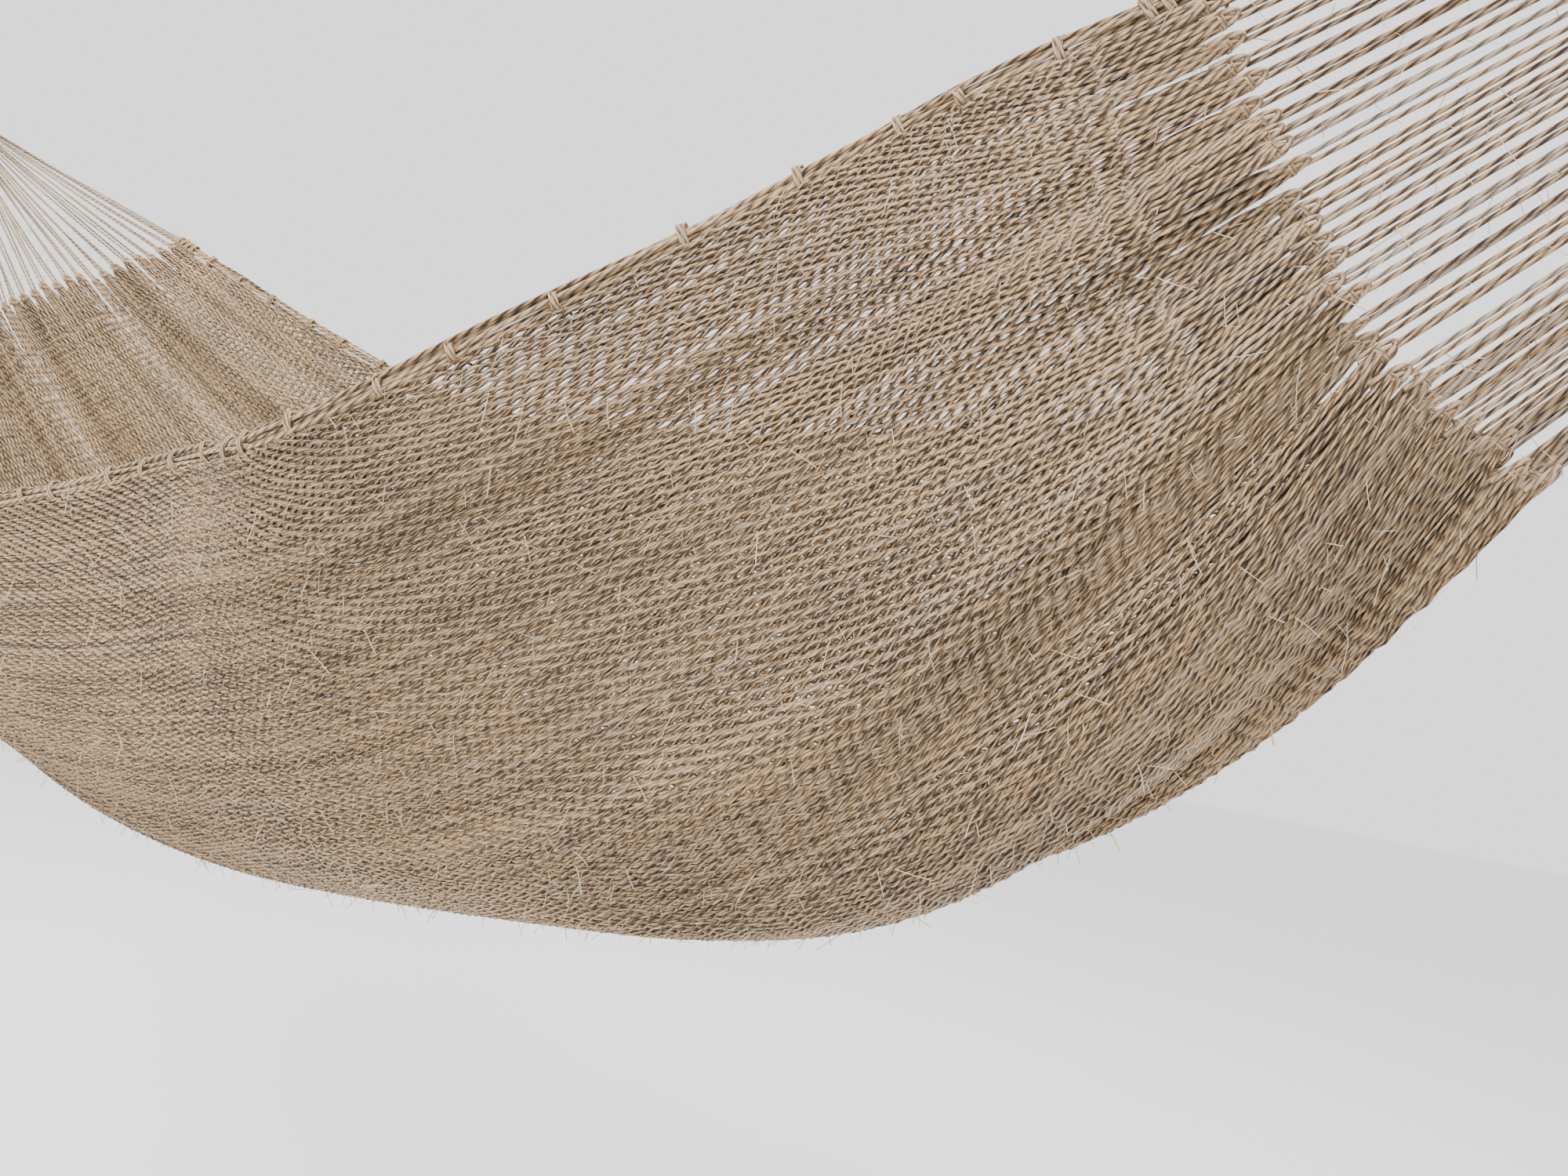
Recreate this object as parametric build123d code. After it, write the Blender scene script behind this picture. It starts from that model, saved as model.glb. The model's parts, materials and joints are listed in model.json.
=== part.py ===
from build123d import *
import math
import os
import numpy as np

# A hammock of natural fibre cord, hung from two eyes.
# Millimetres. Origin: centre of the head eye. +X runs to the foot eye, +Z is up, and
# -Y is the front, the side whose edge hangs lower. The part is stored hanging empty.

# ---- driving dimensions ------------------------------------------------------------
SPAN = 3264.0             # head eye centre to foot eye centre, as hung
CORD_D = 2.8              # one arm cord, a pair of strings laid together
BUNCHES = 45              # loops of net cords at each end, one arm cord in each
NET_THICK = 7.0           # the interlinked net, through its crossing cords
EDGE_R = 8.0              # edge bundle of parallel cords, as a round bundle
TIE_R = 1.8               # cord of an edge hitch
TIES_PER_EDGE = 26        # hitches that hold each edge bundle together
LOOP_R = 3.2              # end loop of a bunch of net cords
LOOP_LEN = 26.0
EYE_HOLE_R = 28.0         # free hole of an eye
EYE_DEPTH = 16.0          # eye cord bundle, measured outwards from the hole
EYE_WIDTH = 24.0          # eye cord bundle, measured along the hole
EYE_ROUND = 6.0
NECK_DROP = 60.0          # the neck knot lies this far below the eye centre
NECK_OUT = 98.0           # and this far along the span from it
KNOT_R = 24.0             # neck knot, round, centred on the swing axis
SLEEVE_R = 15.0           # bound neck between eye and knot
KNOT_GAP = 4.0            # free space between the knot and the gathered cords
GATHER_R = 13.0           # cords packed tight where they leave the knot
GATHER_LEN = 100.0        # from there until they lie apart
GATHER_COVER = 3.0        # the gather reaches this far round the outermost cords
PART_GAP = 3.0            # from the gather's face to where the single cords are drawn from
ARM_GROUPS = 9            # arm cords are kept in groups of neighbours
FAN_ROWS = 3              # the cords lie in three rows where they leave the gather
FAN_ROW_STEP = 2.8
FAN_SQUEEZE = 0.19        # width of the fan there over its width at the net

# Drape of the net. Each station is a line across the net, from the front edge to the
# rear edge, at the given share of its length from the head end to the foot end.
ACROSS = [0.0, 0.25, 0.5, 0.75, 1.0]
DRAPE = [
    (0.00, [(840, -270, -420), (785, -255, -510), (730, -180, -550), (780, -75, -490), (860, 85, -345)]),
    (0.17, [(1130, -275, -770), (1110, -265, -880), (1090, -120, -945), (1100, 55, -790), (1110, 165, -455)]),
    (0.33, [(1430, -265, -800), (1430, -225, -1000), (1430, -45, -1100), (1410, 150, -910), (1390, 245, -550)]),
    (0.50, [(1690, -260, -750), (1700, -210, -975), (1710, -25, -1105), (1690, 180, -915), (1690, 275, -575)]),
    (0.67, [(1895, -265, -700), (1930, -205, -905), (1970, -30, -1070), (1970, 185, -895), (1960, 275, -575)]),
    (0.83, [(2180, -145, -495), (2220, -155, -730), (2285, -75, -965), (2280, 145, -870), (2230, 255, -560)]),
    (0.92, [(2295, -130, -440), (2345, -130, -620), (2435, -95, -810), (2470, 75, -775), (2380, 225, -555)]),
    (1.00, [(2420, -120, -395), (2480, -95, -515), (2545, -75, -615), (2615, 50, -640), (2530, 185, -555)]),
]
NET_GRID = (33, 21)       # points that carry the net's face, along and across
EDGE_STEPS = 11           # straight runs of an edge bundle's route
ARC_SHARE = 0.45          # share of a run that the arc at its end takes

os.makedirs("parts", exist_ok=True)

HEAD_EYE = Vector(0, 0, 0)
FOOT_EYE = Vector(SPAN, 0, 0)
HEAD_KNOT = Vector(NECK_OUT, 0, -NECK_DROP)
FOOT_KNOT = Vector(SPAN - NECK_OUT, 0, -NECK_DROP)


def spline_weights(knots, x):
    """Weights of the knot values in the natural cubic spline through them, at x."""
    count = len(knots)
    step = np.diff(knots)
    left = np.eye(count)
    right = np.zeros((count, count))
    for i in range(1, count - 1):
        left[i, i - 1:i + 2] = [step[i - 1], 2 * (step[i - 1] + step[i]), step[i]]
        right[i, i - 1:i + 2] = [6 / step[i - 1], -6 / step[i - 1] - 6 / step[i], 6 / step[i]]
    bend = np.linalg.solve(left, right)
    j = min(max(int(np.searchsorted(knots, x)) - 1, 0), count - 2)
    a = (knots[j + 1] - x) / step[j]
    b = 1 - a
    weights = ((a**3 - a) * bend[j] + (b**3 - b) * bend[j + 1]) * step[j]**2 / 6
    weights[j] += a
    weights[j + 1] += b
    return weights


ALONG = [station[0] for station in DRAPE]
LATTICE = np.array([station[1] for station in DRAPE], dtype=float)


def bed_point(s, t):
    """Point of the net's middle surface: s along from the head end, t across from the front."""
    weights = np.outer(spline_weights(ALONG, s), spline_weights(ACROSS, t))
    return Vector(*np.einsum("ij,ijk->k", weights, LATTICE))


def save(node, *solids):
    """Write one node, of one or more separate solids."""
    shape = solids[0] if len(solids) == 1 else Compound(children=list(solids))
    export_step(shape, f"parts/{node}.step")


def rod(start, end, radius):
    """Round cord pulled straight between two points."""
    run = end - start
    disc = Plane(origin=start, z_dir=run) * Circle(radius)
    return extrude(disc, run.length, dir=run.normalized()).solid()


# ---- the net -----------------------------------------------------------------------
def make_net():
    """Interlinked net, one thin closed solid along its drape."""
    rows, columns = NET_GRID
    grid = []
    for i in range(rows):
        s = i / (rows - 1)
        grid.append([bed_point(s, j / (columns - 1)) for j in range(columns)])
    middle = Face.make_surface_from_array_of_points(grid, tol=0.05, min_deg=3, max_deg=5)
    upper = Solid.thicken(middle, NET_THICK / 2)
    lower = Solid.thicken(middle, -NET_THICK / 2)
    return (upper + lower).solid()


# ---- edge bundles and their hitches -------------------------------------------------
def edge_points(t):
    """Route of an edge bundle, just outside the net's edge."""
    inward = 0.03 if t == 0 else -0.03
    route = []
    for i in range(EDGE_STEPS + 1):
        s = i / EDGE_STEPS
        rim = bed_point(s, t)
        outward = (rim - bed_point(s, t + inward)).normalized()
        route.append(rim + outward * EDGE_R)
    return route


def arc_radii(points):
    """Largest arc that each corner of a route leaves room for."""
    radii = []
    for before, corner, after in zip(points, points[1:], points[2:]):
        turn = (corner - before).get_angle(after - corner)
        shorter = min((corner - before).length, (after - corner).length)
        radii.append(ARC_SHARE * shorter / math.tan(math.radians(turn / 2)))
    return radii


def make_edge(t):
    """Edge bundle and the hitches tied round it."""
    points = edge_points(t)
    radii = arc_radii(points)
    print("edge bundle radii", [round(r) for r in radii])
    path = FilletPolyline(*points, radius=radii)
    start = Plane(origin=path @ 0, z_dir=path % 0)
    bundle = sweep(start * Circle(EDGE_R), path=path).solid()
    ties = []
    for i in range(TIES_PER_EDGE):
        at = (i + 0.5) / TIES_PER_EDGE
        tie_plane = Plane(origin=path @ at, z_dir=path % at)
        ties.append((tie_plane * Torus(EDGE_R + TIE_R / 2, TIE_R)).solid())
    print("edge bundle length", round(path.length))
    return bundle, ties


# ---- arms and end loops --------------------------------------------------------------
def make_arms(knot, s_end):
    """Arm cords from their gather to the net's end, and the loops that they pass through."""
    ends = [bed_point(s_end, (i + 0.5) / BUNCHES) for i in range(BUNCHES)]
    middle = sum(ends, Vector(0, 0, 0)) / BUNCHES
    out = (middle - knot).normalized()
    fan_centre = knot + out * (KNOT_R + KNOT_GAP + GATHER_LEN + PART_GAP)
    cords = []
    loops = []
    starts = []
    for i, end in enumerate(ends):
        beside = ends[min(i + 1, BUNCHES - 1)] - ends[max(i - 1, 0)]
        row_way = out.cross(beside).normalized()
        off = end - middle
        flat = off - out * off.dot(out)
        row = i % FAN_ROWS - (FAN_ROWS - 1) / 2
        start = fan_centre + flat * FAN_SQUEEZE + row_way * row * FAN_ROW_STEP
        pull = (start - end).normalized()
        loop_tip = end + pull * LOOP_LEN
        starts.append(start)
        cords.append(rod(start, loop_tip, CORD_D / 2))
        loops.append(rod(loop_tip, end, LOOP_R))
    return cords, loops, make_gather(knot, out, starts)


def make_gather(knot, out, starts):
    """Arm cords laid together, tight at the knot and widening to where they part."""
    tight = Plane(origin=knot + out * (KNOT_R + KNOT_GAP), z_dir=out)
    local = [tight.to_local_coords(start) for start in starts]
    wide_r = max(math.hypot(p.X, p.Y) for p in local) + GATHER_COVER
    return (tight * Pos(0, 0, GATHER_LEN / 2) * Cone(GATHER_R, wide_r, GATHER_LEN)).solid()


# ---- eyes and necks ------------------------------------------------------------------
def make_eye(centre):
    """Eye: a ring of bound cord whose hole runs along Y."""
    middle_r = EYE_HOLE_R + EYE_DEPTH / 2
    section = Plane.XY * Pos(middle_r, 0) * RectangleRounded(EYE_DEPTH, EYE_WIDTH, EYE_ROUND)
    ring = revolve(section, axis=Axis.Y, revolution_arc=360)
    return (Pos(*centre) * ring).solid()


def make_binding(eye, knot):
    """Bound neck that leaves the eye and ends in the round neck knot."""
    way = (knot - eye).normalized()
    start = eye + way * (EYE_HOLE_R + EYE_DEPTH - 2)
    sleeve = rod(start, knot, SLEEVE_R)
    return (sleeve + Pos(*knot) * Sphere(KNOT_R)).solid()


def main():
    save("net", make_net())
    for side, t in (("front", 0.0), ("rear", 1.0)):
        bundle, ties = make_edge(t)
        save(f"{side}_edge_bundle", bundle)
        save(f"{side}_edge_hitches", *ties)
    ends = (("head", HEAD_EYE, HEAD_KNOT, 0.0), ("foot", FOOT_EYE, FOOT_KNOT, 1.0))
    for name, eye, knot, s_end in ends:
        cords, loops, gather = make_arms(knot, s_end)
        per_group = BUNCHES // ARM_GROUPS
        for g in range(ARM_GROUPS):
            save(f"{name}_arm_cords_{g + 1}", *cords[g * per_group:(g + 1) * per_group])
        save(f"{name}_arm_gather", gather)
        save(f"{name}_end_loops", *loops)
        save(f"{name}_eye", make_eye(eye))
        save(f"{name}_neck_binding", make_binding(eye, knot))


main()
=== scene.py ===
"""Looks of a rope hammock: an interlinked net of natural fibre cord, hung from two bound eyes."""

import json
import math

import bpy
import numpy as np
from mathutils import Matrix, Vector


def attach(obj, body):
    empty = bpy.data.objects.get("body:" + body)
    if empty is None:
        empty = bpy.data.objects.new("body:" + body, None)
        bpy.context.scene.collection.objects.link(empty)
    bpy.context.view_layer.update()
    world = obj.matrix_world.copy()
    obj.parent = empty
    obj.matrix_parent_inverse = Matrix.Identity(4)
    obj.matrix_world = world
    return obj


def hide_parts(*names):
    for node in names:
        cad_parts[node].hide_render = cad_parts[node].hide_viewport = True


bl_info = {
    "name": "Rope Hammock",
    "version": (1, 0, 0),
    "blender": (4, 5, 0),
    "location": "3D View > Sidebar > Hammock",
    "description": "Builds a hanging net hammock of twisted natural fibre cord",
    "category": "Add Mesh",
}

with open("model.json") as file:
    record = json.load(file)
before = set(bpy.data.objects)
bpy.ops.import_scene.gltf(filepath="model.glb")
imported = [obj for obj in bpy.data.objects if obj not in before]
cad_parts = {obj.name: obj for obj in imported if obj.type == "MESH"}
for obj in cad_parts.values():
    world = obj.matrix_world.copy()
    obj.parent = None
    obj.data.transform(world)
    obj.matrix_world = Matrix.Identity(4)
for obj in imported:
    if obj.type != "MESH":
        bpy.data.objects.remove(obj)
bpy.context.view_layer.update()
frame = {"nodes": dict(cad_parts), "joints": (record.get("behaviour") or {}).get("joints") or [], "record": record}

# ---- places, in metres, in the frame's own axes ------------------------------------
MOUNTS = {m["name"]: Vector(m["pos_m"]) for m in frame["record"]["mounts"]}
SWING = Vector(frame["joints"][0]["pos_m"])
EYES = {"head": MOUNTS["head_eye"], "foot": MOUNTS["foot_eye"]}
EYE_HOLE_R = frame["record"]["mounts"][0]["dims"]["r_mm"] / 1000
EYE_DEPTH = 0.016
EYE_WIDTH = 0.024
NECK_OUT = 0.098
KNOTS = {
    "head": Vector((EYES["head"].x + NECK_OUT, SWING.y, SWING.z)),
    "foot": Vector((EYES["foot"].x - NECK_OUT, SWING.y, SWING.z)),
}
KNOT_R = 0.024
SLEEVE_R = 0.015
EDGE_R = 0.008

# ---- radii of the cords that have no property of their own --------------------------
LOOP_CORD_R = 0.0016
EDGE_CORD_R = 0.0016
HITCH_CORD_R = 0.0012
WRAP_R = 0.0015
FIBRE_R = 0.0003

# Drape of the net, as in the part's source: stations along, points across from the front.
ACROSS = [0.0, 0.25, 0.5, 0.75, 1.0]
DRAPE_MM = [
    (0.00, [(840, -270, -420), (785, -255, -510), (730, -180, -550),
            (780, -75, -490), (860, 85, -345)]),
    (0.17, [(1130, -275, -770), (1110, -265, -880), (1090, -120, -945),
            (1100, 55, -790), (1110, 165, -455)]),
    (0.33, [(1430, -265, -800), (1430, -225, -1000), (1430, -45, -1100),
            (1410, 150, -910), (1390, 245, -550)]),
    (0.50, [(1690, -260, -750), (1700, -210, -975), (1710, -25, -1105),
            (1690, 180, -915), (1690, 275, -575)]),
    (0.67, [(1895, -265, -700), (1930, -205, -905), (1970, -30, -1070),
            (1970, 185, -895), (1960, 275, -575)]),
    (0.83, [(2180, -145, -495), (2220, -155, -730), (2285, -75, -965),
            (2280, 145, -870), (2230, 255, -560)]),
    (0.92, [(2295, -130, -440), (2345, -130, -620), (2435, -95, -810),
            (2470, 75, -775), (2380, 225, -555)]),
    (1.00, [(2420, -120, -395), (2480, -95, -515), (2545, -75, -615),
            (2615, 50, -640), (2530, 185, -555)]),
]
ALONG = [station[0] for station in DRAPE_MM]
LATTICE = np.array([station[1] for station in DRAPE_MM], dtype=float) / 1000


def spline_weights(knots, at):
    """Rows of weights of the knot values in the natural cubic spline through them."""
    count = len(knots)
    step = np.diff(knots)
    left = np.eye(count)
    right = np.zeros((count, count))
    for i in range(1, count - 1):
        left[i, i - 1:i + 2] = [step[i - 1], 2 * (step[i - 1] + step[i]), step[i]]
        right[i, i - 1:i + 2] = [6 / step[i - 1], -6 / step[i - 1] - 6 / step[i], 6 / step[i]]
    bend = np.linalg.solve(left, right)
    rows = np.zeros((len(at), count))
    for row, x in zip(rows, at):
        j = min(max(int(np.searchsorted(knots, x)) - 1, 0), count - 2)
        a = (knots[j + 1] - x) / step[j]
        b = 1 - a
        row += ((a**3 - a) * bend[j] + (b**3 - b) * bend[j + 1]) * step[j]**2 / 6
        row[j] += a
        row[j + 1] += b
    return rows


# Depth of the long folds and of the shallow hollows between them.
FOLD_DEPTH = 0.0062
HOLLOW_DEPTH = 0.004


def ripple(s, t):
    """Gathers of the net: long folds that grow towards the two ends, in metres."""
    foot = np.clip((s - 0.42) / 0.5, 0, 1) ** 1.2
    head = np.clip((0.40 - s) / 0.36, 0, 1) ** 1.2
    folds = np.sin(43 * t + 3.0 * s)
    folds = folds + 0.7 * np.sin(71 * t - 4.0 * s + 1.3) + 0.5 * np.sin(19 * t + 6.0 * s)
    rim = np.clip(np.minimum(t, 1 - t) / 0.08, 0, 1)
    hollows = 0.35 * np.sin(9 * t + 7 * s) * np.sin(math.pi * s)
    return rim * (FOLD_DEPTH * (foot + head) * folds + HOLLOW_DEPTH * hollows)


# How far the cords' spacing is evened out across the net, from 0 to 1.
EVENNESS = 0.55


def evened(grid, t_list):
    """The same surface with the cords nearly evenly spaced across it."""
    moved = np.empty_like(grid)
    for row, new in zip(grid, moved):
        reach = np.concatenate([[0], np.cumsum(np.linalg.norm(np.diff(row, axis=0), axis=1))])
        even = np.interp(t_list, reach / reach[-1], t_list)
        place = (1 - EVENNESS) * t_list + EVENNESS * even
        for k in range(3):
            new[:, k] = np.interp(place, t_list, row[:, k])
    return moved


def drape_grid(s_list, t_list):
    """Points and outward normals of the net's middle surface at these shares."""
    along = spline_weights(ALONG, s_list)
    across = spline_weights(ACROSS, t_list)
    base = evened(np.einsum("ai,ijk,bj->abk", along, LATTICE, across), t_list)
    ds = np.gradient(base, axis=0)
    dt = np.gradient(base, axis=1)
    normal = np.cross(ds, dt)
    normal /= np.linalg.norm(normal, axis=2, keepdims=True)
    s_mesh, t_mesh = np.meshgrid(s_list, t_list, indexing="ij")
    return base + normal * ripple(s_mesh, t_mesh)[..., None], normal


ROWS, COLUMNS = 241, 161
GRID_S = np.linspace(0, 1, ROWS)
GRID_T = np.linspace(0, 1, COLUMNS)
GRID, GRID_NORMAL = drape_grid(GRID_S, GRID_T)


def drape_point(s, t):
    """Point of the rippled drape at shares s and t, from the four grid points round it."""
    a = min(max(s, 0), 1) * (ROWS - 1)
    b = min(max(t, 0), 1) * (COLUMNS - 1)
    i, j = min(int(a), ROWS - 2), min(int(b), COLUMNS - 2)
    u, v = a - i, b - j
    low = GRID[i, j] * (1 - v) + GRID[i, j + 1] * v
    high = GRID[i + 1, j] * (1 - v) + GRID[i + 1, j + 1] * v
    return Vector(low * (1 - u) + high * u)


# ---- sizes and colours that a user would change -------------------------------------
class HammockSizes(bpy.types.PropertyGroup):
    """Sizes of the hammock's cords and pieces."""

    cords: bpy.props.IntProperty(
        name="Net Cords", description="Cords that run the length of the net", default=315, min=8)
    bunch: bpy.props.IntProperty(
        name="Cords in a Bunch", description="Net cords gathered in one end loop", default=7, min=2)
    flat_spacing: bpy.props.FloatProperty(
        name="Flat Spacing", description="Spacing of the cords when the net is spread flat",
        default=0.0052, unit="LENGTH")
    strips: bpy.props.IntProperty(
        name="Net Strips", description="Pieces that the net is divided into", default=9, min=1)
    inner_strips: bpy.props.IntProperty(
        name="Inner Strips", description="Pieces of the net's inner face", default=4, min=1)
    cord_radius: bpy.props.FloatProperty(
        name="Net Cord Radius", description="Radius of one net cord", default=0.0018, unit="LENGTH")
    string_radius: bpy.props.FloatProperty(
        name="Arm String Radius", description="Radius of one arm string", default=0.0014, unit="LENGTH")
    waves: bpy.props.FloatProperty(
        name="Interlinks", description="Links of each cord with its neighbour, end to end", default=92.0)
    samples: bpy.props.IntProperty(
        name="Cord Samples", description="Cross-sections along one net cord", default=440, min=16)
    inner_samples: bpy.props.IntProperty(
        name="Inner Samples", description="Cross-sections along a cord of the inner face",
        default=265, min=16)
    side_swing: bpy.props.FloatProperty(
        name="Side Swing", description="Swing of a cord to its side, as a share of the spacing",
        default=0.45)
    through_swing: bpy.props.FloatProperty(
        name="Through Swing", description="Swing of a cord through the net", default=0.0016, unit="LENGTH")
    gather: bpy.props.FloatProperty(
        name="Bunch Length", description="Share of the net's length in which its cords bunch", default=0.010)
    plain_end: bpy.props.FloatProperty(
        name="Plain End", description="Share of the net's length, at each end, that is hardly linked",
        default=0.045)
    end_step: bpy.props.FloatProperty(
        name="End Step", description="Share of the length by which bunches end unevenly", default=0.004)
    edge_cords: bpy.props.IntProperty(
        name="Edge Cords", description="Cords in each edge bundle", default=9, min=2)
    hitches: bpy.props.IntProperty(
        name="Hitches", description="Hitches tied along each edge", default=26, min=1)
    fibres: bpy.props.FloatProperty(
        name="Stray Fibres", description="Fibres that stand off the net, for each square metre",
        default=3700.0)


class HammockColours(bpy.types.PropertyGroup):
    """Colours of the hammock's fibre."""

    light: bpy.props.FloatVectorProperty(
        name="Pale Fibre", description="Colour of the crests of a cord", subtype="COLOR",
        size=4, default=(0.72, 0.47, 0.235, 1))
    # Painted shade: the deep colour, nearly black, is painted into the grooves between a cord's strands. It is
    # also the dark end of the fibre's own streaks.
    deep: bpy.props.FloatVectorProperty(
        name="Groove Shade and Dark Fibre", description="Colour between a cord's strands", subtype="COLOR",
        size=4, default=(0.030, 0.013, 0.005, 1))
    stray: bpy.props.FloatVectorProperty(
        name="Stray Fibre", description="Colour of single fibres", subtype="COLOR",
        size=4, default=(0.86, 0.72, 0.50, 1))
    floor: bpy.props.FloatVectorProperty(
        name="Floor", description="Colour of the floor", subtype="COLOR",
        size=4, default=(0.90, 0.90, 0.90, 1))


def sizes():
    return bpy.context.scene.hammock_sizes


def colours():
    return bpy.context.scene.hammock_colours


# ---- node tree helpers ----------------------------------------------------------------
class Tree:
    """A node tree that is filled by short calls."""

    def __init__(self, tree):
        self.tree = tree

    def put(self, socket, value):
        if isinstance(value, bpy.types.NodeSocket):
            self.tree.links.new(value, socket)
        else:
            socket.default_value = value

    def node(self, kind, inputs=None, **settings):
        made = self.tree.nodes.new(kind)
        for key, value in settings.items():
            setattr(made, key, value)
        for key, value in (inputs or {}).items():
            if isinstance(key, int):
                self.put(made.inputs[key], value)
            else:
                self.put(next(s for s in made.inputs if s.name == key and s.enabled), value)
        return made

    def out(self, kind, inputs=None, name=None, **settings):
        made = self.node(kind, inputs, **settings)
        return next(s for s in made.outputs if s.enabled and name in (None, s.name))

    def math(self, operation, *values, clamp=False):
        return self.out("ShaderNodeMath", dict(enumerate(values)), operation=operation, use_clamp=clamp)

    def vector(self, operation, *values, name=None):
        return self.out("ShaderNodeVectorMath", dict(enumerate(values)), name=name, operation=operation)

    def combine(self, x, y, z):
        return self.out("ShaderNodeCombineXYZ", {0: x, 1: y, 2: z})

    def scaled(self, vector, factor):
        return self.out("ShaderNodeVectorMath", {"Vector": vector, "Scale": factor}, operation="SCALE")


def geometry_tree(name, inputs):
    """A geometry node tree with these inputs, its helper, its input node and its output node."""
    tree = bpy.data.node_groups.new(name, "GeometryNodeTree")
    tree.interface.new_socket("Geometry", in_out="INPUT", socket_type="NodeSocketGeometry")
    tree.interface.new_socket("Geometry", in_out="OUTPUT", socket_type="NodeSocketGeometry")
    for label, kind in inputs.items():
        tree.interface.new_socket(label, in_out="INPUT", socket_type="NodeSocket" + kind)
    helper = Tree(tree)
    given = helper.node("NodeGroupInput").outputs
    end = helper.node("NodeGroupOutput")
    return helper, given, end


def cord_skin(t, curve, radius, sides, material):
    """Tube round each curve, with the angle round the cord stored for its twist."""
    circle = t.out("GeometryNodeCurvePrimitiveCircle", {"Resolution": sides, "Radius": radius})
    place = t.out("GeometryNodeInputPosition")
    around = t.vector("NORMALIZE", place)
    circle = t.out("GeometryNodeStoreNamedAttribute",
                   {"Geometry": circle, "Name": "around", "Value": around}, data_type="FLOAT_VECTOR")
    tube = t.out("GeometryNodeCurveToMesh", {"Curve": curve, "Profile Curve": circle, "Fill Caps": True})
    tube = t.out("GeometryNodeSetShadeSmooth", {"Geometry": tube, "Shade Smooth": True})
    tube = t.out("GeometryNodeRealizeInstances", {"Geometry": tube})
    return t.out("GeometryNodeSetMaterial", {"Geometry": tube, "Material": material})


# Uneven ends of the bunches: rate and start of a wave over the bunch number, for each end.
END_WAVES = {"head": (2.399, 1.0), "foot": (3.731, 2.0)}

# Unevenness of the links' timing, in radians, and of a cord's place, in cord spacings.
LINK_JITTER = 0.3
CORD_DRIFT = 2.6
# Share of the links' swing that is left in the plain ends.
END_LINKING = 0.2
# In the plain ends the cords of a bunch draw together, in its gather they lie tight and stacked.
BUNCH_DRAW = 0.16
BUNCH_TIGHT = 0.40
BUNCH_STACK = 0.004


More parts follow.
